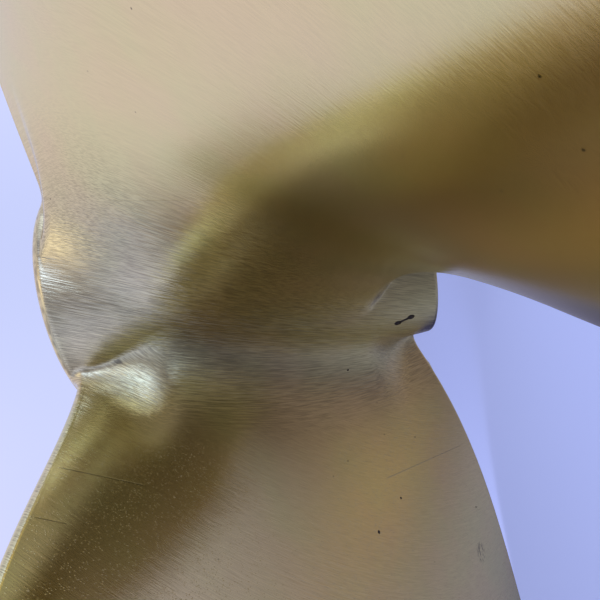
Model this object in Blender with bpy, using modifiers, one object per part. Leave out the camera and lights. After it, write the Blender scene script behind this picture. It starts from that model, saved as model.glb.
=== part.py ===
"""Ship propeller for a small craft: one bronze casting with four wide, right-handed blades.

Metres, +Z up and forward. The casting lies on a level floor as it is left on a bench, with the
boss's big end up and the blades' trailing edges down, and the origin is on the floor below the
shaft's axis.

A point of a blade has three coordinates: chord, along the blade's screw line from the generator
towards the trailing edge; rise, square to that line and towards the back of the blade; and lift,
the height above the boss's surface.
"""

import math

import bmesh
import bpy
from mathutils import Matrix

# Propeller
BLADES = 4
TIP_RADIUS = 0.2159
PITCH = 0.4318

# Boss
BOSS_LENGTH = 0.093
FORE_RADIUS = 0.0317
AFT_RADIUS = 0.0294
FORE_ROUNDING = 0.0025
AFT_ROUNDING = 0.0012
BOSS_STEPS = 64
RIM_STEPS = 3

# Bore for a tapered shaft end with a key
BORE_FORE_RADIUS = 0.015
BORE_TAPER = 0.05
BORE_CHAMFER = 0.001
KEY_WIDTH = 0.008
KEY_DEPTH = 0.0033
CUT_MARGIN = 0.002

# Generator line of a blade: it leans aft, and leaves the boss halfway along
RAKE = 0.193
GENERATOR_HEIGHT = BOSS_LENGTH / 2 + RAKE * AFT_RADIUS

# Blade outline, as widths from the generator to each edge. A root stops short of the boss's faces.
WIDEST_RADIUS = 0.148
LEAD_MARGIN = 0.0044
LEAD_WIDEST = 0.1056
LEAD_FLARE = 0.61
TRAIL_MARGIN = 0.0051
TRAIL_WIDEST = 0.0940
TRAIL_FLARE = 1.27
TIP_FULLNESS = 2.4
TIP_WIDTH = 0.0040
ROOT_SLOPE = math.atan2(PITCH / math.tau, AFT_RADIUS)
LEAD_ROOT = (BOSS_LENGTH / 2 - LEAD_MARGIN) / math.sin(ROOT_SLOPE)
TRAIL_ROOT = (BOSS_LENGTH / 2 - TRAIL_MARGIN) / math.sin(ROOT_SLOPE)

# Blade section
ROOT_THICKNESS = 0.0118
TIP_THICKNESS = 0.0026
LEAD_EDGE_THICKNESS = 0.0050
TRAIL_EDGE_THICKNESS = 0.0020
TIP_EDGE_THICKNESS = 0.0016
THICKEST_SHARE = 0.42
RELIEF_SHARE = 0.28
RELIEF_RUN = 0.010

# Fillet between a blade and the boss: how far it reaches up the blade and out over the boss
SIDE_LIFT = 0.0320
SIDE_SPREAD = 0.0155
LEAD_LIFT = 0.0065
LEAD_SPREAD = 0.0030
TRAIL_LIFT = 0.0080
TRAIL_SPREAD = 0.0040
BACK_RUN = 0.0060
FACE_RUN = 0.0200
FILLET_POWER = 2.0
FOOT_SLOPE = 0.14
FOOT_SINK = 0.02
ROOT_DEPTH = 0.0040

# Fineness of the loft
CHORD_STEPS = 14
EDGE_TURNS = (0.0, 45.0)
FILLET_STEPS = 4
INNER_STEPS = 7
OUTER_STEPS = 9
SETTLING_ROUNDS = 8

BRONZE = (0.62, 0.50, 0.27, 1.0)


def clear_scene():
    for old in list(bpy.data.objects):
        bpy.data.objects.remove(old)


def bronze_material():
    material = bpy.data.materials.new("bronze")
    material.use_nodes = True
    shader = material.node_tree.nodes["Principled BSDF"]
    shader.inputs["Base Color"].default_value = BRONZE
    shader.inputs["Metallic"].default_value = 1.0
    shader.inputs["Roughness"].default_value = 0.35
    return material


def boss_radius(height):
    """Radius of the boss's outer side, with its rounded rims."""
    height = min(max(height, 0.0), BOSS_LENGTH)
    radius = AFT_RADIUS + (FORE_RADIUS - AFT_RADIUS) * height / BOSS_LENGTH
    for rounding, depth in ((FORE_ROUNDING, BOSS_LENGTH - height), (AFT_ROUNDING, height)):
        short = max(rounding - depth, 0.0)
        radius -= rounding - math.sqrt(rounding**2 - short**2)
    return radius


def bore_radius(height):
    return BORE_FORE_RADIUS - BORE_TAPER * (BOSS_LENGTH - height)


def edge_width(radius, root, widest, flare):
    """Width of the blade at a radius, from the generator to one edge."""
    inner = (radius - AFT_RADIUS) / (WIDEST_RADIUS - AFT_RADIUS)
    if inner <= 1.0:
        x = max(inner, 0.0)
        rise = flare * x + (3.0 - 2.0 * flare) * x**2 + (flare - 2.0) * x**3
        return root + (widest - root) * rise
    outer = min((radius - WIDEST_RADIUS) / (TIP_RADIUS - WIDEST_RADIUS), 1.0)
    return max(widest * math.sqrt(1.0 - outer**TIP_FULLNESS), TIP_WIDTH)


def fade(root_value, tip_value, radius):
    """A size that runs straight from the boss to the tip."""
    share = (radius - AFT_RADIUS) / (TIP_RADIUS - AFT_RADIUS)
    return root_value + (tip_value - root_value) * min(max(share, 0.0), 1.0)


def blade_thickness(radius, share):
    """How far the back is above the screw surface, at a share of the chord from the leading edge."""
    reach = THICKEST_SHARE if share < THICKEST_SHARE else 1.0 - THICKEST_SHARE
    crown = 1.0 - ((share - THICKEST_SHARE) / reach) ** 2
    lead = fade(LEAD_EDGE_THICKNESS, TIP_EDGE_THICKNESS, radius)
    trail = fade(TRAIL_EDGE_THICKNESS, TIP_EDGE_THICKNESS, radius)
    edge = lead + (trail - lead) * share
    return edge + (fade(ROOT_THICKNESS, TIP_THICKNESS, radius) - edge) * crown


def face_relief(radius, run):
    """How far the face leaves the screw surface, at a run from the leading edge's rounding."""
    relief = RELIEF_SHARE * fade(LEAD_EDGE_THICKNESS, TIP_EDGE_THICKNESS, radius)
    return relief * max(1.0 - run / RELIEF_RUN, 0.0) ** 2


def chord_share(value):
    """Shares of the chord that lie closer together towards the edges."""
    return (1.0 - math.cos(math.pi * value)) / 2


def section_stations():
    """(place, turn) of each point along one side of a section: which stretch of the chord it is
    on, how far along it, and which way the surface faces there, in degrees from the chord."""
    stations = [("lead", turn) for turn in EDGE_TURNS]
    stations += [("side", step / CHORD_STEPS) for step in range(CHORD_STEPS + 1)]
    stations += [("trail", turn) for turn in reversed(EDGE_TURNS)]
    return stations


def section_point(radius, station, back):
    """(chord, rise, facing) of a point of the section, with the way it faces in radians."""
    place, value = station
    lead = edge_width(radius, LEAD_ROOT, LEAD_WIDEST, LEAD_FLARE)
    trail = edge_width(radius, TRAIL_ROOT, TRAIL_WIDEST, TRAIL_FLARE)
    lead_sides = face_relief(radius, 0.0), blade_thickness(radius, 0.0)
    trail_sides = 0.0, blade_thickness(radius, 1.0)
    lead_nose = min((lead_sides[1] - lead_sides[0]) / 2, lead / 2)
    trail_nose = min(trail_sides[1] / 2, trail / 2)
    side = 1.0 if back else -1.0
    if place == "side":
        run = chord_share(value) * (lead + trail - lead_nose - trail_nose)
        rise = blade_thickness(radius, chord_share(value)) if back else face_relief(radius, run)
        return -lead + lead_nose + run, rise, side * math.pi / 2
    turn = math.radians(value)
    face, top = lead_sides if place == "lead" else trail_sides
    rise = (face + top) / 2 + side * (top - face) / 2 * math.sin(turn)
    if place == "lead":
        return -lead + lead_nose * (1.0 - math.cos(turn)), rise, side * (math.pi - turn)
    return trail - trail_nose * (1.0 - math.cos(turn)), rise, side * turn


def fillet_reach(station, back):
    """How far the fillet reaches up the blade and out over the boss, at a point of the section."""
    place, value = station
    lead, trail = (LEAD_LIFT, LEAD_SPREAD), (TRAIL_LIFT, TRAIL_SPREAD)
    if place != "side":
        return lead if place == "lead" else trail
    share = chord_share(value)
    edge, gap = (lead, share) if share < 0.5 else (trail, 1.0 - share)
    run = min(gap * (LEAD_ROOT + TRAIL_ROOT) / (BACK_RUN if back else FACE_RUN), 1.0)
    growth = run**2 * (3.0 - 2.0 * run)
    return [near + (far - near) * growth for near, far in zip(edge, (SIDE_LIFT, SIDE_SPREAD))]


def blade_point(station, back, lift, share, spread):
    """The place in space of a section's point, a share of the way from its lift above the boss to
    the tip's radius, and moved outwards from the section by spread."""
    radius = (FORE_RADIUS + AFT_RADIUS) / 2
    for _ in range(SETTLING_ROUNDS):
        chord, rise, facing = section_point(radius, station, back)
        chord += spread * math.cos(facing)
        rise += spread * math.sin(facing)
        slope = math.atan2(PITCH / math.tau, radius)
        height = GENERATOR_HEIGHT - RAKE * radius - chord * math.sin(slope) + rise * math.cos(slope)
        radius = (1.0 - share) * (boss_radius(height) + lift) + share * TIP_RADIUS
    angle = -(chord * math.cos(slope) + rise * math.sin(slope)) / radius
    return radius * math.cos(angle), radius * math.sin(angle), height


def span_shares():
    """Shares of the way from the boss to the tip: even ones up to the blade's widest place, and
    closer ones after it, where the outline turns in."""
    widest = (WIDEST_RADIUS - AFT_RADIUS) / (TIP_RADIUS - AFT_RADIUS)
    shares = [widest * step / INNER_STEPS for step in range(1, INNER_STEPS + 1)]
    for step in range(1, OUTER_STEPS + 1):
        outer = math.sin(math.pi / 2 * step / OUTER_STEPS) ** (2 / TIP_FULLNESS)
        shares.append(widest + (1.0 - widest) * outer)
    return shares


def fillet_level(reach, turn):
    """(lift, share, spread) on a fillet, at a turn from 0 on the blade to 1 on the boss."""
    lift, spread = reach
    return lift * (1.0 - turn) ** FILLET_POWER, 0.0, spread * turn**FILLET_POWER


def blade_levels(station, back):
    """(lift, share, spread) of each level of the loft, from inside the boss out to the tip."""
    reach = fillet_reach(station, back)
    foot = 1.0 / (1.0 + (FOOT_SLOPE * reach[1] / reach[0]) ** (1.0 / (FILLET_POWER - 1.0)))
    lift, _, spread = fillet_level(reach, foot)
    sink = FOOT_SINK * reach[1]
    foot_spread = spread + (lift + sink) / FOOT_SLOPE
    levels = [(-ROOT_DEPTH, 0.0, 0.0), (-sink, 0.0, foot_spread)]
    for step in range(FILLET_STEPS + 1):
        levels.append(fillet_level(reach, foot * (1.0 - step / FILLET_STEPS)))
    levels += [(reach[0], share, 0.0) for share in span_shares()]
    return levels


def cap(mesh, ring):
    """Close an end of the loft with a strip from the back's points to the face's."""
    for column in range(len(ring) // 2):
        corners = [ring[column], ring[column + 1], ring[-column - 1], ring[-column]]
        mesh.faces.new(list(dict.fromkeys(corners)))


def blade_mesh():
    """One blade as a loft: a closed ring of points at each level, and a cap at either end."""
    stations = section_stations()
    ring = [(station, True) for station in stations]
    ring += [(station, False) for station in reversed(stations[1:-1])]
    levels = [blade_levels(station, back) for station, back in ring]
    mesh = bmesh.new()
    rings = []
    for level in range(len(levels[0])):
        rings.append(
            [
                mesh.verts.new(blade_point(station, back, *levels[column][level]))
                for column, (station, back) in enumerate(ring)
            ]
        )
    for inner, outer in zip(rings, rings[1:]):
        for column in range(len(ring)):
            after = (column + 1) % len(ring)
            mesh.faces.new((inner[column], inner[after], outer[after], outer[column]))
    cap(mesh, rings[0])
    cap(mesh, rings[-1])
    bmesh.ops.triangulate(mesh, faces=mesh.faces[:])
    bmesh.ops.recalc_face_normals(mesh, faces=mesh.faces[:])
    data = bpy.data.meshes.new("blade")
    mesh.to_mesh(data)
    mesh.free()
    return data


def helper(name, data, collection):
    """An object that a Boolean reads and that isn't shown."""
    piece = bpy.data.objects.new(name, data)
    piece.hide_render = True
    piece.display_type = "WIRE"
    collection.objects.link(piece)
    return piece


def boss_profile():
    """The boss's closed outline, down its outer side and up the bore."""
    points = []
    for middle, radius, rounding, start in (
        (BOSS_LENGTH - FORE_ROUNDING, FORE_RADIUS, FORE_ROUNDING, math.pi / 2),
        (AFT_ROUNDING, AFT_RADIUS, AFT_ROUNDING, 0.0),
    ):
        for step in range(RIM_STEPS + 1):
            angle = start - math.pi / 2 * step / RIM_STEPS
            inset = rounding * (1 - math.cos(angle))
            points.append((radius - inset, middle + rounding * math.sin(angle)))
    points.append((bore_radius(0.0) + BORE_CHAMFER, 0.0))
    points.append((bore_radius(BORE_CHAMFER), BORE_CHAMFER))
    points.append((bore_radius(BOSS_LENGTH - BORE_CHAMFER), BOSS_LENGTH - BORE_CHAMFER))
    points.append((bore_radius(BOSS_LENGTH) + BORE_CHAMFER, BOSS_LENGTH))
    return points


def boss_object(collection):
    mesh = bmesh.new()
    corners = [mesh.verts.new((radius, 0.0, height)) for radius, height in boss_profile()]
    for corner, after in zip(corners, corners[1:] + corners[:1]):
        mesh.edges.new((corner, after))
    data = bpy.data.meshes.new("propeller")
    mesh.to_mesh(data)
    mesh.free()
    boss = bpy.data.objects.new("propeller", data)
    collection.objects.link(boss)
    turned = boss.modifiers.new("turned boss", "SCREW")
    turned.steps = turned.render_steps = BOSS_STEPS
    turned.use_merge_vertices = True
    turned.merge_threshold = 0.00001
    return boss


def join_blades(boss, helpers, height):
    data = blade_mesh()
    for index in range(BLADES):
        blade = helper(f"blade_{index + 1}", data, helpers)
        turn = Matrix.Rotation(math.tau * index / BLADES, 4, "Z")
        blade.matrix_world = Matrix.Translation((0, 0, height)) @ turn
        join = boss.modifiers.new(f"blade {index + 1}", "BOOLEAN")
        join.operation = "UNION"
        join.object = blade


def cut_keyway(boss, helpers, height):
    """A slot along the bore's wall, as deep at one end as at the other."""
    mesh = bmesh.new()
    bmesh.ops.create_cube(mesh, size=1.0)
    data = bpy.data.meshes.new("keyway")
    mesh.to_mesh(data)
    mesh.free()
    slot = helper("keyway", data, helpers)
    lean = math.atan(BORE_TAPER)
    reach = bore_radius(BOSS_LENGTH / 2) + KEY_DEPTH
    length = (BOSS_LENGTH + 2 * CUT_MARGIN) / math.cos(lean)
    size = Matrix.Diagonal((reach, KEY_WIDTH, length + KEY_DEPTH, 1.0))
    middle = Matrix.Translation((0, 0, height + BOSS_LENGTH / 2))
    tilt = Matrix.Rotation(lean, 4, "Y")
    slot.matrix_world = middle @ tilt @ Matrix.Translation((reach / 2, 0, 0)) @ size
    cut = boss.modifiers.new("keyway", "BOOLEAN")
    cut.operation = "DIFFERENCE"
    cut.object = slot


def standing_height():
    """How far the boss's aft face is above the floor that the trailing edges rest on."""
    return -min(vertex.co.z for vertex in blade_mesh().vertices)


def main():
    clear_scene()
    collection = bpy.data.collections.new("propeller")
    helpers = bpy.data.collections.new("helpers")
    for made in (collection, helpers):
        bpy.context.scene.collection.children.link(made)
    height = standing_height()
    boss = boss_object(collection)
    boss.location.z = height
    boss.data.materials.append(bronze_material())
    join_blades(boss, helpers, height)
    cut_keyway(boss, helpers, height)


main()
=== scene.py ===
"""The looks of the ship propeller: one ground bronze casting on a pale floor, seen from close by,
between two blades, as in the photograph.

A point of a blade has three coordinates: chord, along the blade's screw line from the generator
towards the trailing edge; rise, square to that line and towards the back of the blade; and lift,
the height above the boss's surface. Lengths are in metres and +Z is forward along the shaft.
"""

import math

import bmesh
import bpy
from mathutils import Matrix, Vector


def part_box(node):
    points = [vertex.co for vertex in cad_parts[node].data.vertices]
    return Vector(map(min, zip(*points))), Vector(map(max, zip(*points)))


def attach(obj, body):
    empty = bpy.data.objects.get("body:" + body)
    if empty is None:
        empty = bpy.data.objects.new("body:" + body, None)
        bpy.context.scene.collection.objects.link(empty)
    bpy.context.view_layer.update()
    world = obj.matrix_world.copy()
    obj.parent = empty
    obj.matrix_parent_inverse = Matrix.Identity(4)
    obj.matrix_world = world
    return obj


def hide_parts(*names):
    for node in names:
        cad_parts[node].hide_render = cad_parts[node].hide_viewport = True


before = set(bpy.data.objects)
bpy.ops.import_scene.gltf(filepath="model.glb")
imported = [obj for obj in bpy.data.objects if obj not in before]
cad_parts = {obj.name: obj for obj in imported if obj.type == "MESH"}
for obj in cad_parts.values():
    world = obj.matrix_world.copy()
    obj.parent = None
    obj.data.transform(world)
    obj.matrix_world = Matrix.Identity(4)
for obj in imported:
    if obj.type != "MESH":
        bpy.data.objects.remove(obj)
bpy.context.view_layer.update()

CAD_LOW, CAD_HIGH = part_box("propeller")

# Propeller, as in the solid
BLADES = 4
TIP_RADIUS = 0.2159
PITCH = 0.4318
BOSS_LENGTH = 0.093
FORE_RADIUS = 0.0317
AFT_RADIUS = 0.0294
FORE_FACE = CAD_HIGH.z
AFT_FACE = FORE_FACE - BOSS_LENGTH
FORE_ROUNDING = 0.0025
AFT_ROUNDING = 0.0012

BORE_FORE_RADIUS = 0.015
BORE_TAPER = 0.05  # on the radius, so 1 in 10 on the diameter
BORE_CHAMFER = 0.001
KEY_WIDTH = 0.008
KEY_DEPTH = 0.0033
CUT_MARGIN = 0.002

RAKE = 0.193
GENERATOR_HEIGHT = BOSS_LENGTH / 2 + RAKE * AFT_RADIUS
WIDEST_RADIUS = 0.148
LEAD_MARGIN = 0.0044
LEAD_WIDEST = 0.1056
LEAD_FLARE = 0.61
TRAIL_MARGIN = 0.0051
TRAIL_WIDEST = 0.0940
TRAIL_FLARE = 1.27
TIP_FULLNESS = 2.4
TIP_WIDTH = 0.0040
ROOT_SLOPE = math.atan2(PITCH / math.tau, AFT_RADIUS)
LEAD_ROOT = (BOSS_LENGTH / 2 - LEAD_MARGIN) / math.sin(ROOT_SLOPE)
TRAIL_ROOT = (BOSS_LENGTH / 2 - TRAIL_MARGIN) / math.sin(ROOT_SLOPE)

ROOT_THICKNESS = 0.0118
TIP_THICKNESS = 0.0026
LEAD_EDGE_THICKNESS = 0.0050
TRAIL_EDGE_THICKNESS = 0.0020
TIP_EDGE_THICKNESS = 0.0016
THICKEST_SHARE = 0.42
RELIEF_SHARE = 0.28
RELIEF_RUN = 0.010

SIDE_LIFT = 0.0320
SIDE_SPREAD = 0.0155
LEAD_LIFT = 0.0065
LEAD_SPREAD = 0.0030
TRAIL_LIFT = 0.0080
TRAIL_SPREAD = 0.0040
BACK_RUN = 0.0060
FACE_RUN = 0.0200
FILLET_POWER = 2.0
FOOT_SLOPE = 0.015
FOOT_SINK = 0.001
ROOT_DEPTH = 0.0040
FACE_MARGIN = 0.0001

# Fineness of the mesh
BOSS_STEPS = 192
RIM_STEPS = 9
BOSS_ROWS = 30
CHORD_STEPS = 48
EDGE_STEPS = 6
FILLET_STEPS = 16
INNER_STEPS = 40
OUTER_STEPS = 30
SETTLING_ROUNDS = 8
MERGE_DISTANCE = 0.00001
SHARP_ANGLE = math.radians(35)

# Camera: its place round and along the shaft's axis, and where it looks
CAMERA_ANGLE = 64.23
CAMERA_DISTANCE = 0.1641
CAMERA_BELOW_FORE_FACE = 0.0617
CAMERA_YAW = -0.88
CAMERA_PITCH = 4.50
CAMERA_ROLL = 13.01
FOCAL_PIXELS = 576.96
IMAGE_PIXELS = 600
SENSOR_WIDTH = 36.0
NEAREST_VIEW = 0.005

# Marks on the casting, at pixels of the frame, which the camera's rays carry to the surface. Pits,
# and the smudge and the spot of painted shade, have a radius, and scratches a strength.
PITS = {
    (379, 532): 0.00045,
    (401, 498): 0.00035,
    (476, 507): 0.00032,
    (348, 370): 0.00030,
    (348, 461): 0.00018,
    (415, 437): 0.00020,
}
PIT_DEPTH_SHARE = 0.8
PIT_FINENESS = 3
DENT_ENDS = (398, 323), (411, 317)
DENT_RADIUS = 0.00095
GROOVE_RADIUS = 0.00045
GROOVE_SIDES = 12
SCRATCHES = (
    ((383, 480), (464, 444), 0.30),
    ((58, 467), (147, 486), 0.40),
    ((34, 517), (69, 524), 0.35),
    ((103, 201), (191, 201), 0.07),
)
SCRATCH_WIDTH = 0.00014
SCRATCH_DEPTH = 0.006
SCRATCH_RELIEF = 1.5
SCRATCH_TAPER = 0.1
# The first spot is a dark smudge; the second is painted shade, in the hollow where the leading edge's
# fillet meets the boss.
SMUDGES_AND_PAINTED_SHADE = {(481, 552): 0.0038, (118, 363): 0.0015}
SMUDGE_AND_SHADE_STRENGTH = 0.6
SMUDGE_AND_SHADE_CORE = 1 / 3
SMUDGE_AND_SHADE_BLOTS = 0.44, 0.60
BLOTS_PER_METRE = 900.0

# Ground bronze. A pair of numbers holds the values where a smooth step begins and ends.
BRONZE = (0.782, 0.654, 0.327, 1.0)
PINK_BRONZE = (0.799, 0.637, 0.34, 1.0)
OLIVE_BRONZE = (0.748, 0.663, 0.323, 1.0)
# Dark colour of tarnish, worn hairs, specks and scratches, and also of the painted shade at the
# leading edge's root.
TARNISH_AND_PAINTED_SHADE = (0.08, 0.06, 0.045, 1.0)
TINTS_PER_METRE = 45.0
PINK_TINTS = 0.40, 0.70
OLIVE_TINTS = 0.52, 0.25
ROUGHNESS = 0.17
HAIR_ROUGHNESS = 0.08
FACE_POLISH = 0.03
PIT_ROUGHNESS = 0.6
PIT_METAL = 0.6

# Brush strokes, which follow the screw lines on the boss and on the backs, and drift outwards on
# the faces and wherever a screw line meets the surface at an angle
STROKE_LENGTH = 26.0
STROKES_PER_METRE = 2600.0
STROKE_DEPTH = 0.00009
BROAD_STROKE_WIDTH = 5.0
BROAD_STROKE_SHARE = 0.4
HAIRS_PER_METRE = 5500.0
WORN_HAIRS = 0.62, 0.36
WORN_STRENGTH = 0.38
LEAST_PRESSURE = 0.6
PRESSURE_RANGE = 0.8
FACE_PRESSURE = 0.32
FACE_FINENESS = 1.7
FACE_DRIFT = 0.6
BLADE_SHIFT = 0.0015
BACK_PRESSURE = 0.14
FACING = 0.15, 0.45  # how much the surface faces along the shaft
FACE_STARTS = 0.040, 0.055  # radius
BACK_STARTS = 0.035, 0.065  # radius
CROSSING = 0.10, 0.26  # sine of the angle between a screw line and the surface

# Grains on the faces, and specks everywhere
GRAINS_PER_METRE = 2900.0
GRAIN_REACH = 0.40
GRAIN_CHOICE = 0.67, 0.77
GRAIN_RELIEF = 0.55
GRAIN_FADE = 4.0
SPECKS_PER_METRE = 230.0
SPECK_SIZE = 0.06, 0.02
SPECK_CHOICE = 0.75, 0.85
SPECK_STRENGTH = 0.8

# Surroundings: a pale room, with soft round patches laid over it one after the other. Each has its
# azimuth and elevation in degrees, how narrow it is, and its light.
ROOM = (0.88, 0.96, 1.46, 1.0)
PATCHES = {
    "ceiling": (-110, 66, 6, (0.94, 0.94, 1.27, 1.0)),
    "low haze": (3, -67, 9, (0.26, 0.29, 0.59, 1.0)),
    "wide shade": (28, -6, 2.4, (0.01, 0.05, 0.14, 1.0)),
    "low shade": (98, -43, 1.0, (0.09, 0.07, 0.05, 1.0)),
    "under haze": (40, -64, 20, (0.24, 0.21, 0.25, 1.0)),
    "low gleam": (72, -14, 60, (0.61, 0.78, 1.33, 1.0)),
    "opening": (42, 28, 14, (0.6, 0.74, 1.39, 1.0)),
    "dark middle": (-2, 2, 8, (0.2, 0.2, 0.28, 1.0)),
    "dark spot": (-32, 44, 39, (0.12, 0.05, 0.0, 1.0)),
    "cool lamp": (14, 59, 30, (0.48, 0.58, 1.06, 1.0)),
    "side window": (156, 4, 17, (1.65, 2.06, 3.24, 1.0)),
    "dim wall": (126, 27, 20, (0.28, 0.32, 0.61, 1.0)),
    "blue gap": (107, 12, 56, (2.24, 3.12, 5.88, 1.0)),
    "high lamp": (97, 50, 27, (1.41, 1.41, 1.53, 1.0)),
    "small lamp": (20, 27, 36, (0.82, 0.96, 1.65, 1.0)),
    "dark side": (-75, -18, 5.5, (0.0, 0.0, 0.09, 1.0)),
    "ground": (0, -90, 28, (0.38, 0.32, 0.29, 1.0)),
    "near wall": (-122, 25, 20, (0.58, 0.64, 0.985, 1.0)),
}
FLOOR = (0.383, 0.416, 0.561, 1.0)
FLOOR_GLOW = (0.27, 0.32, 0.64, 1.0)
FLOOR_ROUGHNESS = 0.8
FLOOR_REACH = 6.0


def boss_radius(height):
    """Radius of the boss's outer side, with its rounded rims."""
    height = min(max(height, 0.0), BOSS_LENGTH)
    radius = AFT_RADIUS + (FORE_RADIUS - AFT_RADIUS) * height / BOSS_LENGTH
    for rounding, depth in ((FORE_ROUNDING, BOSS_LENGTH - height), (AFT_ROUNDING, height)):
        short = max(rounding - depth, 0.0)
        radius -= rounding - math.sqrt(rounding**2 - short**2)
    return radius


def bore_radius(height):
    return BORE_FORE_RADIUS - BORE_TAPER * (BOSS_LENGTH - height)


def edge_width(radius, root, widest, flare):
    """Width of the blade at a radius, from the generator to one edge."""
    inner = (radius - AFT_RADIUS) / (WIDEST_RADIUS - AFT_RADIUS)
    if inner <= 1.0:
        x = max(inner, 0.0)
        rise = flare * x + (3.0 - 2.0 * flare) * x**2 + (flare - 2.0) * x**3
        return root + (widest - root) * rise
    outer = min((radius - WIDEST_RADIUS) / (TIP_RADIUS - WIDEST_RADIUS), 1.0)
    return max(widest * math.sqrt(1.0 - outer**TIP_FULLNESS), TIP_WIDTH)


def fade(root_value, tip_value, radius):
    """A size that runs straight from the boss to the tip."""
    share = (radius - AFT_RADIUS) / (TIP_RADIUS - AFT_RADIUS)
    return root_value + (tip_value - root_value) * min(max(share, 0.0), 1.0)


def blade_thickness(radius, share):
    """How far the back is above the screw surface, at a share of the chord from the leading edge."""
    reach = THICKEST_SHARE if share < THICKEST_SHARE else 1.0 - THICKEST_SHARE
    crown = 1.0 - ((share - THICKEST_SHARE) / reach) ** 2
    lead = fade(LEAD_EDGE_THICKNESS, TIP_EDGE_THICKNESS, radius)
    trail = fade(TRAIL_EDGE_THICKNESS, TIP_EDGE_THICKNESS, radius)
    edge = lead + (trail - lead) * share
    return edge + (fade(ROOT_THICKNESS, TIP_THICKNESS, radius) - edge) * crown


def face_relief(radius, run):
    """How far the face leaves the screw surface, at a run from the leading edge's rounding."""
    relief = RELIEF_SHARE * fade(LEAD_EDGE_THICKNESS, TIP_EDGE_THICKNESS, radius)
    return relief * max(1.0 - run / RELIEF_RUN, 0.0) ** 2


def chord_share(value):
    """Shares of the chord that lie closer together towards the edges."""
    return (1.0 - math.cos(math.pi * value)) / 2


def section_stations():
    """(place, value) of each point along one side of a section. The value is a turn in degrees
    round an edge, and a share of the way between the edges."""
    turns = [90.0 * step / EDGE_STEPS for step in range(EDGE_STEPS)]
    stations = [("lead", turn) for turn in turns]
    stations += [("side", step / CHORD_STEPS) for step in range(CHORD_STEPS + 1)]
    stations += [("trail", turn) for turn in reversed(turns)]
    return stations


def section_point(radius, station, back):
    """(chord, rise, facing) of a point of the section, with the way it faces in radians."""
    place, value = station
    lead = edge_width(radius, LEAD_ROOT, LEAD_WIDEST, LEAD_FLARE)
    trail = edge_width(radius, TRAIL_ROOT, TRAIL_WIDEST, TRAIL_FLARE)
    lead_sides = face_relief(radius, 0.0), blade_thickness(radius, 0.0)
    trail_sides = 0.0, blade_thickness(radius, 1.0)
    lead_nose = min((lead_sides[1] - lead_sides[0]) / 2, lead / 2)
    trail_nose = min(trail_sides[1] / 2, trail / 2)
    side = 1.0 if back else -1.0
    if place == "side":
        run = chord_share(value) * (lead + trail - lead_nose - trail_nose)
        rise = blade_thickness(radius, chord_share(value)) if back else face_relief(radius, run)
        return -lead + lead_nose + run, rise, side * math.pi / 2
    turn = math.radians(value)
    face, top = lead_sides if place == "lead" else trail_sides
    rise = (face + top) / 2 + side * (top - face) / 2 * math.sin(turn)
    if place == "lead":
        return -lead + lead_nose * (1.0 - math.cos(turn)), rise, side * (math.pi - turn)
    return trail - trail_nose * (1.0 - math.cos(turn)), rise, side * turn


def fillet_reach(station, back):
    """How far the fillet reaches up the blade and out over the boss, at a point of the section."""
    place, value = station
    lead, trail = (LEAD_LIFT, LEAD_SPREAD), (TRAIL_LIFT, TRAIL_SPREAD)
    if place != "side":
        return lead if place == "lead" else trail
    share = chord_share(value)
    edge, gap = (lead, share) if share < 0.5 else (trail, 1.0 - share)
    run = min(gap * (LEAD_ROOT + TRAIL_ROOT) / (BACK_RUN if back else FACE_RUN), 1.0)
    growth = run**2 * (3.0 - 2.0 * run)
    return [near + (far - near) * growth for near, far in zip(edge, (SIDE_LIFT, SIDE_SPREAD))]


def blade_point(station, back, lift, share, spread):
    """The place in space of a section's point, a share of the way from its lift above the boss to
    the tip's radius, and moved outwards from the section by spread."""
    radius = (FORE_RADIUS + AFT_RADIUS) / 2
    for _ in range(SETTLING_ROUNDS):
        chord, rise, facing = section_point(radius, station, back)
        chord += spread * math.cos(facing)
        rise += spread * math.sin(facing)
        slope = math.atan2(PITCH / math.tau, radius)
        height = GENERATOR_HEIGHT - RAKE * radius - chord * math.sin(slope) + rise * math.cos(slope)
        radius = (1.0 - share) * (boss_radius(height) + lift) + share * TIP_RADIUS
    angle = -(chord * math.cos(slope) + rise * math.sin(slope)) / radius
    height = min(height, BOSS_LENGTH - FACE_MARGIN)
    return radius * math.cos(angle), radius * math.sin(angle), height


def span_shares():
    """Shares of the way from the boss to the tip: even ones up to the blade's widest place, and
    closer ones after it, where the outline turns in."""
    widest = (WIDEST_RADIUS - AFT_RADIUS) / (TIP_RADIUS - AFT_RADIUS)
    shares = [widest * step / INNER_STEPS for step in range(1, INNER_STEPS + 1)]
    for step in range(1, OUTER_STEPS + 1):
        outer = math.sin(math.pi / 2 * step / OUTER_STEPS) ** (2 / TIP_FULLNESS)
        shares.append(widest + (1.0 - widest) * outer)
    return shares


def fillet_level(reach, turn):
    """(lift, share, spread) on a fillet, at a turn from 0 on the blade to 1 on the boss."""
    lift, spread = reach
    return lift * (1.0 - turn) ** FILLET_POWER, 0.0, spread * turn**FILLET_POWER


def blade_levels(station, back):
    """(lift, share, spread) of each level of the loft, from inside the boss out to the tip."""
    reach = fillet_reach(station, back)
    foot = 1.0 / (1.0 + (FOOT_SLOPE * reach[1] / reach[0]) ** (1.0 / (FILLET_POWER - 1.0)))
    lift, _, spread = fillet_level(reach, foot)
    sink = FOOT_SINK * reach[1]
    foot_spread = spread + (lift + sink) / FOOT_SLOPE
    levels = [(-ROOT_DEPTH, 0.0, 0.0), (-sink, 0.0, foot_spread)]
    for step in range(FILLET_STEPS + 1):
        levels.append(fillet_level(reach, foot * (1.0 - step / FILLET_STEPS)))
    levels += [(reach[0], share, 0.0) for share in span_shares()]
    return levels


def cap(mesh, ring):
    """Close an end of the loft with a strip from the back's points to the face's."""
    for column in range(len(ring) // 2):
        corners = [ring[column], ring[column + 1], ring[-column - 1], ring[-column]]
        mesh.faces.new(list(dict.fromkeys(corners)))


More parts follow.
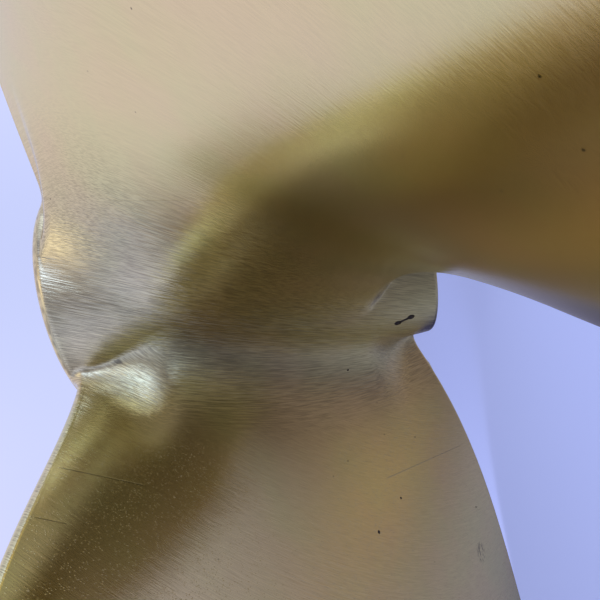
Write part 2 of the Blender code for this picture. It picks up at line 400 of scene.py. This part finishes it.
def blade_mesh():
    """One blade as a loft: a closed ring of points at each level, and a cap at either end."""
    stations = section_stations()
    ring = [(station, True) for station in stations]
    ring += [(station, False) for station in reversed(stations[1:-1])]
    levels = [blade_levels(station, back) for station, back in ring]
    mesh = bmesh.new()
    rings = []
    for level in range(len(levels[0])):
        rings.append(
            [
                mesh.verts.new(blade_point(station, back, *levels[column][level]))
                for column, (station, back) in enumerate(ring)
            ]
        )
    for inner, outer in zip(rings, rings[1:]):
        for column in range(len(ring)):
            after = (column + 1) % len(ring)
            mesh.faces.new((inner[column], inner[after], outer[after], outer[column]))
    cap(mesh, rings[0])
    cap(mesh, rings[-1])
    bmesh.ops.recalc_face_normals(mesh, faces=mesh.faces[:])
    data = bpy.data.meshes.new("blade")
    mesh.to_mesh(data)
    mesh.free()
    return data


def rim_arc(radius, middle, rounding, start):
    """Points of the rounding between a flat end of the boss and its outer side."""
    points = []
    for step in range(RIM_STEPS + 1):
        angle = start - math.pi / 2 * step / RIM_STEPS
        points.append((radius - rounding * (1 - math.cos(angle)), middle + rounding * math.sin(angle)))
    return points


def boss_profile():
    """The boss's closed outline, down its outer side and up the bore."""
    points = rim_arc(FORE_RADIUS, BOSS_LENGTH - FORE_ROUNDING, FORE_ROUNDING, math.pi / 2)
    for row in range(1, BOSS_ROWS):
        height = BOSS_LENGTH * (1 - row / BOSS_ROWS)
        points.append((boss_radius(height), height))
    points += rim_arc(AFT_RADIUS, AFT_ROUNDING, AFT_ROUNDING, 0.0)
    points.append((bore_radius(0.0) + BORE_CHAMFER, 0.0))
    points.append((bore_radius(BORE_CHAMFER), BORE_CHAMFER))
    points.append((bore_radius(BOSS_LENGTH - BORE_CHAMFER), BOSS_LENGTH - BORE_CHAMFER))
    points.append((bore_radius(BOSS_LENGTH) + BORE_CHAMFER, BOSS_LENGTH))
    return points


def boss_object():
    """The boss alone: its outline turned round the shaft's axis, by a modifier."""
    mesh = bmesh.new()
    corners = [mesh.verts.new((radius, 0.0, height)) for radius, height in boss_profile()]
    for corner, after in zip(corners, corners[1:] + corners[:1]):
        mesh.edges.new((corner, after))
    data = bpy.data.meshes.new("casting")
    mesh.to_mesh(data)
    mesh.free()
    boss = bpy.data.objects.new("casting", data)
    bpy.context.scene.collection.objects.link(boss)
    turned = boss.modifiers.new("turned boss", "SCREW")
    turned.steps = turned.render_steps = BOSS_STEPS
    turned.use_merge_vertices = True
    turned.merge_threshold = MERGE_DISTANCE
    return boss


def keyway_mesh():
    """The block that cuts the keyway, which lies along the taper of the bore."""
    mesh = bmesh.new()
    bmesh.ops.create_cube(mesh, size=1.0)
    lean = math.atan(BORE_TAPER)
    reach = bore_radius(BOSS_LENGTH / 2) + KEY_DEPTH
    length = (BOSS_LENGTH + 2 * CUT_MARGIN) / math.cos(lean)
    size = Matrix.Diagonal((reach, KEY_WIDTH, length + KEY_DEPTH, 1.0))
    middle = Matrix.Translation((0, 0, BOSS_LENGTH / 2))
    turn = Matrix.Rotation(lean, 4, "Y")
    mesh.transform(middle @ turn @ Matrix.Translation((reach / 2, 0, 0)) @ size)
    data = bpy.data.meshes.new("keyway")
    mesh.to_mesh(data)
    mesh.free()
    return data


def combine_shapes(casting, helpers, materials="INDEX"):
    """Apply the helpers to the casting as Booleans, one after the other, and remove them."""
    for helper, operation in helpers:
        bpy.context.scene.collection.objects.link(helper)
        join = casting.modifiers.new(helper.name, "BOOLEAN")
        join.operation = operation
        join.object = helper
        join.material_mode = materials
    evaluated = casting.evaluated_get(bpy.context.evaluated_depsgraph_get())
    data = bpy.data.meshes.new_from_object(evaluated)
    casting.modifiers.clear()
    casting.data = data
    for helper, _ in helpers:
        bpy.data.objects.remove(helper)
    data.shade_smooth()
    data.set_sharp_from_angle(angle=SHARP_ANGLE)


def casting_object():
    """The whole casting as one closed mesh: boss, blades joined on, keyway cut."""
    casting = boss_object()
    helpers = []
    blade = blade_mesh()
    for index in range(BLADES):
        helper = bpy.data.objects.new(f"blade_{index + 1}", blade)
        helper.matrix_world = Matrix.Rotation(math.tau * index / BLADES, 4, "Z")
        helpers.append((helper, "UNION"))
    helpers.append((bpy.data.objects.new("keyway", keyway_mesh()), "DIFFERENCE"))
    combine_shapes(casting, helpers)
    casting.data.name = "casting"
    casting.data.transform(Matrix.Translation((0, 0, AFT_FACE)))
    return casting


def node(tree, kind, inputs=None, **settings):
    """A new node with its settings, and with its inputs set or linked."""
    made = tree.nodes.new(kind)
    for name, value in settings.items():
        setattr(made, name, value)
    for key, value in (inputs or {}).items():
        if isinstance(value, bpy.types.NodeSocket):
            tree.links.new(value, made.inputs[key])
        else:
            made.inputs[key].default_value = value
    return made


def maths(tree, operation, *values):
    return node(tree, "ShaderNodeMath", dict(enumerate(values)), operation=operation).outputs[0]


def vector(tree, operation, *values):
    inputs = dict(zip((0, "Scale") if operation == "SCALE" else (0, 1), values))
    return node(tree, "ShaderNodeVectorMath", inputs, operation=operation).outputs[0]


def measure(tree, operation, *values):
    """A vector operation whose result is a number."""
    made = node(tree, "ShaderNodeVectorMath", dict(enumerate(values)), operation=operation)
    return made.outputs["Value"]


def ease(tree, value, low, high):
    """0 below low, 1 above high and a smooth step between them."""
    inputs = {"Value": value, "From Min": low, "From Max": high}
    return node(tree, "ShaderNodeMapRange", inputs, interpolation_type="SMOOTHSTEP").outputs[0]


def blend(tree, factor, first, second):
    """A mix of two colours."""
    made = node(tree, "ShaderNodeMix", {0: factor, 6: first, 7: second}, data_type="RGBA")
    return made.outputs[2]


def noise(tree, space, scale, detail=2.0, roughness=0.5):
    inputs = {"Vector": space, "Scale": scale, "Detail": detail, "Roughness": roughness}
    return node(tree, "ShaderNodeTexNoise", inputs).outputs[0]


def split(tree, value):
    return node(tree, "ShaderNodeSeparateXYZ", {0: value}).outputs


def combine(tree, *values):
    return node(tree, "ShaderNodeCombineXYZ", dict(enumerate(values))).outputs[0]


def choose(tree, factor, first, second):
    """A mix of two numbers."""
    return node(tree, "ShaderNodeMix", {0: factor, 2: first, 3: second}).outputs[0]


def cells(tree, place, scale):
    """(distance to the nearest of many scattered points, a number picked for that point)."""
    made = node(tree, "ShaderNodeTexVoronoi", {"Vector": place, "Scale": scale})
    return made.outputs["Distance"], split(tree, made.outputs["Color"])["X"]


def unwound(tree, place):
    """The place turned back along the screw, so that every screw line is upright."""
    height = split(tree, place)["Z"]
    inputs = {"Vector": place, "Angle": maths(tree, "MULTIPLY", height, -math.tau / PITCH)}
    turned = node(tree, "ShaderNodeVectorRotate", inputs, rotation_type="Z_AXIS")
    return turned.outputs[0], height


def straight_lines(tree, space):
    """A space in which the screw lines are stretched, for strokes that follow them."""
    return vector(tree, "MULTIPLY", space, (1.0, 1.0, 1.0 / STROKE_LENGTH))


def drifting_lines(tree, space, height, radius):
    """A space for strokes over a blade's face, which drift outwards on their way aft."""
    outward = maths(tree, "MULTIPLY_ADD", height, FACE_DRIFT, radius)
    side = split(tree, vector(tree, "SCALE", space, maths(tree, "DIVIDE", BLADE_SHIFT, radius)))
    along = maths(tree, "MULTIPLY_ADD", height, 1.0 / STROKE_LENGTH, side["X"])
    return combine(tree, outward, along, side["Y"])


def screw_direction(tree, place):
    """The direction of the screw line through a place, with length 1."""
    parts = split(tree, place)
    across = maths(tree, "MULTIPLY", parts["Y"], -math.tau / PITCH)
    along = maths(tree, "MULTIPLY", parts["X"], math.tau / PITCH)
    return vector(tree, "NORMALIZE", combine(tree, across, along, 1.0))


def strokes(tree, lines, fineness=1.0):
    """(heights of the brush strokes' grooves, how marked the finest of them are)."""
    scale = STROKES_PER_METRE * fineness
    fine = noise(tree, lines, scale, detail=2.0, roughness=0.65)
    broad = noise(tree, lines, scale / BROAD_STROKE_WIDTH, detail=0.0)
    hairs = noise(tree, lines, HAIRS_PER_METRE * fineness, detail=1.0, roughness=0.6)
    return maths(tree, "MULTIPLY_ADD", broad, BROAD_STROKE_SHARE, fine), hairs


def sides(tree, place, radius):
    """How far a point is on a blade's face, on its back, and among the drifting strokes: 0 to 1."""
    normal = node(tree, "ShaderNodeNewGeometry").outputs["Normal"]
    crossing = measure(tree, "DOT_PRODUCT", normal, screw_direction(tree, place))
    crossing = ease(tree, maths(tree, "ABSOLUTE", crossing), *CROSSING)
    facing = split(tree, normal)["Z"]
    low, high = FACING
    on_face = ease(tree, facing, -low, -high)
    on_face = maths(tree, "MULTIPLY", on_face, ease(tree, radius, *FACE_STARTS))
    on_back = ease(tree, facing, low, high)
    on_back = maths(tree, "MULTIPLY", on_back, ease(tree, radius, *BACK_STARTS))
    return on_face, on_back, maths(tree, "MAXIMUM", on_face, crossing)


def brushed(tree, place):
    """(heights of the strokes, how marked the finest of them are, how hard the brush pressed, and
    how far the point is on a blade's face)."""
    space, height = unwound(tree, place)
    radius = measure(tree, "LENGTH", vector(tree, "MULTIPLY", space, (1.0, 1.0, 0.0)))
    on_face, on_back, drift = sides(tree, place, radius)
    straight = strokes(tree, straight_lines(tree, space))
    drifting = strokes(tree, drifting_lines(tree, space, height, radius), FACE_FINENESS)
    lines, hairs = (choose(tree, drift, *pair) for pair in zip(straight, drifting))
    pressure = noise(tree, space, TINTS_PER_METRE)
    pressure = maths(tree, "MULTIPLY_ADD", pressure, PRESSURE_RANGE, LEAST_PRESSURE)
    fading = maths(tree, "MULTIPLY_ADD", on_back, BACK_PRESSURE - 1.0, 1.0)
    fading = maths(tree, "MULTIPLY_ADD", on_face, FACE_PRESSURE - 1.0, fading)
    return lines, hairs, maths(tree, "MULTIPLY", pressure, fading), on_face


def grains(tree, place, on_face):
    """1 in the middle of each fine grain that stands out of a face."""
    distance, pick = cells(tree, place, GRAINS_PER_METRE)
    grain = ease(tree, distance, GRAIN_REACH, 0.0)
    grain = maths(tree, "MULTIPLY", grain, ease(tree, pick, *GRAIN_CHOICE))
    return maths(tree, "MULTIPLY", grain, maths(tree, "POWER", on_face, GRAIN_FADE))


def scratch(tree, place, start, end, eye):
    """1 along a scratch, in the plane through its ends and the camera, and 0 away from it."""
    along = end - start
    across = along.cross(start - eye).normalized()
    offset = vector(tree, "SUBTRACT", place, start)
    share = maths(tree, "DIVIDE", measure(tree, "DOT_PRODUCT", offset, along), along.length_squared)
    line = vector(tree, "SCALE", along, share)
    gap = maths(tree, "ABSOLUTE", measure(tree, "DOT_PRODUCT", offset, across))
    mark = ease(tree, gap, SCRATCH_WIDTH, SCRATCH_WIDTH / 2)
    mark = maths(tree, "MULTIPLY", mark, ease(tree, share, 0.0, SCRATCH_TAPER))
    mark = maths(tree, "MULTIPLY", mark, ease(tree, share, 1.0, 1.0 - SCRATCH_TAPER))
    near = ease(tree, measure(tree, "DISTANCE", offset, line), SCRATCH_DEPTH, SCRATCH_DEPTH / 2)
    return maths(tree, "MULTIPLY", mark, near)


def scratches(tree, place, casting):
    """How dark and deep the scratches are."""
    eye = bpy.context.scene.camera.matrix_world.translation
    scratched = 0.0
    for *ends, strength in SCRATCHES:
        start, end = (surface_at(casting, pixel)[0] for pixel in ends)
        mark = maths(tree, "MULTIPLY", scratch(tree, place, start, end, eye), strength)
        scratched = maths(tree, "MAXIMUM", scratched, mark)
    return scratched


def smudges_and_painted_shade(tree, place, casting):
    """How dark the blots are: a smudge, and painted shade at the leading edge's root."""
    smudged_or_shaded = 0.0
    for pixel, radius in SMUDGES_AND_PAINTED_SHADE.items():
        gap = measure(tree, "DISTANCE", place, surface_at(casting, pixel)[0])
        spot = ease(tree, gap, radius, radius * SMUDGE_AND_SHADE_CORE)
        smudged_or_shaded = maths(tree, "MAXIMUM", smudged_or_shaded, spot)
    blots = ease(tree, noise(tree, place, BLOTS_PER_METRE), *SMUDGE_AND_SHADE_BLOTS)
    return maths(tree, "MULTIPLY", maths(tree, "MULTIPLY", smudged_or_shaded, blots), SMUDGE_AND_SHADE_STRENGTH)


def specks(tree, place):
    """How dark the specks are, which lie here and there."""
    distance, pick = cells(tree, place, SPECKS_PER_METRE)
    speck = ease(tree, distance, *SPECK_SIZE)
    speck = maths(tree, "MULTIPLY", speck, ease(tree, pick, *SPECK_CHOICE))
    return maths(tree, "MULTIPLY", speck, SPECK_STRENGTH)


def bronze_colour(tree, place):
    """The metal's colour, which varies a little from place to place."""
    tint = noise(tree, place, TINTS_PER_METRE, detail=3.0)
    colour = blend(tree, ease(tree, tint, *PINK_TINTS), BRONZE, PINK_BRONZE)
    return blend(tree, ease(tree, tint, *OLIVE_TINTS), colour, OLIVE_BRONZE)


def bronze(casting):
    """The ground bronze of the whole casting, with its brush strokes, its marks and a spot of painted
    shade.
    """
    material = bpy.data.materials.new("bronze")
    material.use_nodes = True
    tree = material.node_tree
    shader = tree.nodes["Principled BSDF"]
    place = node(tree, "ShaderNodeTexCoord").outputs["Object"]
    lines, hairs, pressure, on_face = brushed(tree, place)
    scratched = scratches(tree, place, casting)

    relief = maths(tree, "MULTIPLY", lines, pressure)
    relief = maths(tree, "MULTIPLY_ADD", grains(tree, place, on_face), GRAIN_RELIEF, relief)
    relief = maths(tree, "MULTIPLY_ADD", scratched, -SCRATCH_RELIEF, relief)
    inputs = {"Height": relief, "Distance": STROKE_DEPTH, "Strength": 1.0}
    bump = node(tree, "ShaderNodeBump", inputs)
    tree.links.new(bump.outputs[0], shader.inputs["Normal"])

    worn = maths(tree, "MULTIPLY", pressure, WORN_STRENGTH)
    worn = maths(tree, "MULTIPLY", ease(tree, hairs, *WORN_HAIRS), worn)
    colour = bronze_colour(tree, place)
    # Darkened towards the tarnish colour by wear, specks, scratches and a smudge, and by painted shade
    # at the leading edge's root.
    for mark in (worn, specks(tree, place), scratched, smudges_and_painted_shade(tree, place, casting)):
        colour = blend(tree, mark, colour, TARNISH_AND_PAINTED_SHADE)
    tree.links.new(colour, shader.inputs["Base Color"])

    rough = maths(tree, "MULTIPLY_ADD", hairs, HAIR_ROUGHNESS, ROUGHNESS)
    rough = maths(tree, "MULTIPLY_ADD", on_face, -FACE_POLISH, rough)
    tree.links.new(rough, shader.inputs["Roughness"])
    shader.inputs["Metallic"].default_value = 1.0
    return material


def tarnish():
    """The dull dark bottom of a pit."""
    material = bpy.data.materials.new("tarnish")
    material.use_nodes = True
    shader = material.node_tree.nodes["Principled BSDF"]
    shader.inputs["Base Color"].default_value = TARNISH_AND_PAINTED_SHADE
    shader.inputs["Metallic"].default_value = PIT_METAL
    shader.inputs["Roughness"].default_value = PIT_ROUGHNESS
    return material


def aim(yaw, pitch, roll):
    """Columns of the camera's rotation. Before the three turns it looks square at the shaft's
    axis, with forward along the shaft to the image's left."""
    forward, right, down = Vector((-1, 0, 0)), Vector((0, 0, -1)), Vector((0, -1, 0))
    forward, right = (
        forward * math.cos(yaw) + right * math.sin(yaw),
        right * math.cos(yaw) - forward * math.sin(yaw),
    )
    forward, down = (
        forward * math.cos(pitch) + down * math.sin(pitch),
        down * math.cos(pitch) - forward * math.sin(pitch),
    )
    right, down = (
        right * math.cos(roll) + down * math.sin(roll),
        down * math.cos(roll) - right * math.sin(roll),
    )
    return Matrix((right, -down, -forward)).transposed()


def place_camera():
    """The scene's camera, placed from the shaft's axis and the boss's forward face."""
    camera = bpy.data.objects.new("camera", bpy.data.cameras.new("camera"))
    bpy.context.scene.collection.objects.link(camera)
    camera.data.sensor_width = SENSOR_WIDTH
    camera.data.lens = FOCAL_PIXELS * SENSOR_WIDTH / IMAGE_PIXELS
    camera.data.clip_start = NEAREST_VIEW
    turn = aim(*map(math.radians, (CAMERA_YAW, CAMERA_PITCH, CAMERA_ROLL))).to_4x4()
    place = Matrix.Translation((CAMERA_DISTANCE, 0, FORE_FACE - CAMERA_BELOW_FORE_FACE))
    camera.matrix_world = Matrix.Rotation(math.radians(CAMERA_ANGLE), 4, "Z") @ place @ turn
    bpy.context.scene.camera = camera


def surface_at(casting, pixel):
    """The point of the casting that the camera sees at a pixel, and its normal."""
    view = bpy.context.scene.camera.matrix_world
    across, down = (value - IMAGE_PIXELS / 2 for value in pixel)
    ray = (view.to_3x3() @ Vector((across, -down, -FOCAL_PIXELS))).normalized()
    _, point, normal, _ = casting.ray_cast(view.translation, ray)
    return point, normal


def dimples(spots):
    """A flat cap of a ball for each (point, normal) and radius, to be sunk into the surface."""
    mesh = bmesh.new()
    for (point, normal), radius in spots:
        depth = radius * PIT_DEPTH_SHARE
        ball = (radius**2 + depth**2) / (2 * depth)
        place = Matrix.Translation(point + normal * (ball - depth))
        bmesh.ops.create_icosphere(mesh, subdivisions=PIT_FINENESS, radius=ball, matrix=place)
    return mesh


def groove(start, end):
    """A round bar from one point to the other."""
    mesh = bmesh.new()
    lie = (end - start).to_track_quat("Z", "X").to_matrix().to_4x4()
    bmesh.ops.create_cone(
        mesh,
        cap_ends=True,
        segments=GROOVE_SIDES,
        radius1=GROOVE_RADIUS,
        radius2=GROOVE_RADIUS,
        depth=(end - start).length,
        matrix=Matrix.Translation((start + end) / 2) @ lie,
    )
    return mesh


def cut_marks(casting):
    """Sink the pits and the dent into the casting, with dark metal inside them."""
    spots = [(surface_at(casting, pixel), radius) for pixel, radius in PITS.items()]
    ends = [surface_at(casting, pixel) for pixel in DENT_ENDS]
    spots += [(end, DENT_RADIUS) for end in ends]
    bar = groove(*(point for point, _ in ends))
    cutters = []
    for name, mesh in (("dimples", dimples(spots)), ("groove", bar)):
        data = bpy.data.meshes.new(name)
        mesh.to_mesh(data)
        mesh.free()
        data.materials.append(casting.data.materials["tarnish"])
        cutters.append((bpy.data.objects.new(name, data), "DIFFERENCE"))
    combine_shapes(casting, cutters, materials="TRANSFER")


def floor_object():
    """A plain pale floor, which the casting doesn't mirror."""
    mesh = bmesh.new()
    bmesh.ops.create_grid(mesh, x_segments=1, y_segments=1, size=FLOOR_REACH)
    data = bpy.data.meshes.new("floor")
    mesh.to_mesh(data)
    mesh.free()
    floor = bpy.data.objects.new("floor", data)
    bpy.context.scene.collection.objects.link(floor)
    material = bpy.data.materials.new("floor")
    material.use_nodes = True
    shader = material.node_tree.nodes["Principled BSDF"]
    shader.inputs["Base Color"].default_value = FLOOR
    shader.inputs["Roughness"].default_value = FLOOR_ROUGHNESS
    shader.inputs["Emission Color"].default_value = FLOOR_GLOW
    shader.inputs["Emission Strength"].default_value = 1.0
    data.materials.append(material)
    floor.visible_glossy = False


def light():
    """Soft light from all round: the room's colour, with the patches laid over it in turn."""
    world = bpy.data.worlds.new("studio")
    bpy.context.scene.world = world
    world.use_nodes = True
    tree = world.node_tree
    direction = node(tree, "ShaderNodeTexCoord").outputs["Generated"]
    colour = ROOM
    for azimuth, elevation, narrowness, patch in PATCHES.values():
        turn, rise = math.radians(azimuth), math.radians(elevation)
        reach = math.cos(rise)
        middle = Vector((reach * math.cos(turn), reach * math.sin(turn), math.sin(rise)))
        closeness = measure(tree, "DOT_PRODUCT", direction, middle)
        falling = maths(tree, "MULTIPLY_ADD", closeness, narrowness, -narrowness)
        colour = blend(tree, maths(tree, "EXPONENT", falling), colour, patch)
    tree.links.new(colour, tree.nodes["Background"].inputs["Color"])


def main():
    bpy.context.scene.view_settings.view_transform = "Standard"
    place_camera()
    casting = casting_object()
    casting.data.materials.append(bronze(casting))
    casting.data.materials.append(tarnish())
    cut_marks(casting)
    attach(casting, "root")
    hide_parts("propeller")
    floor_object()
    light()


main()
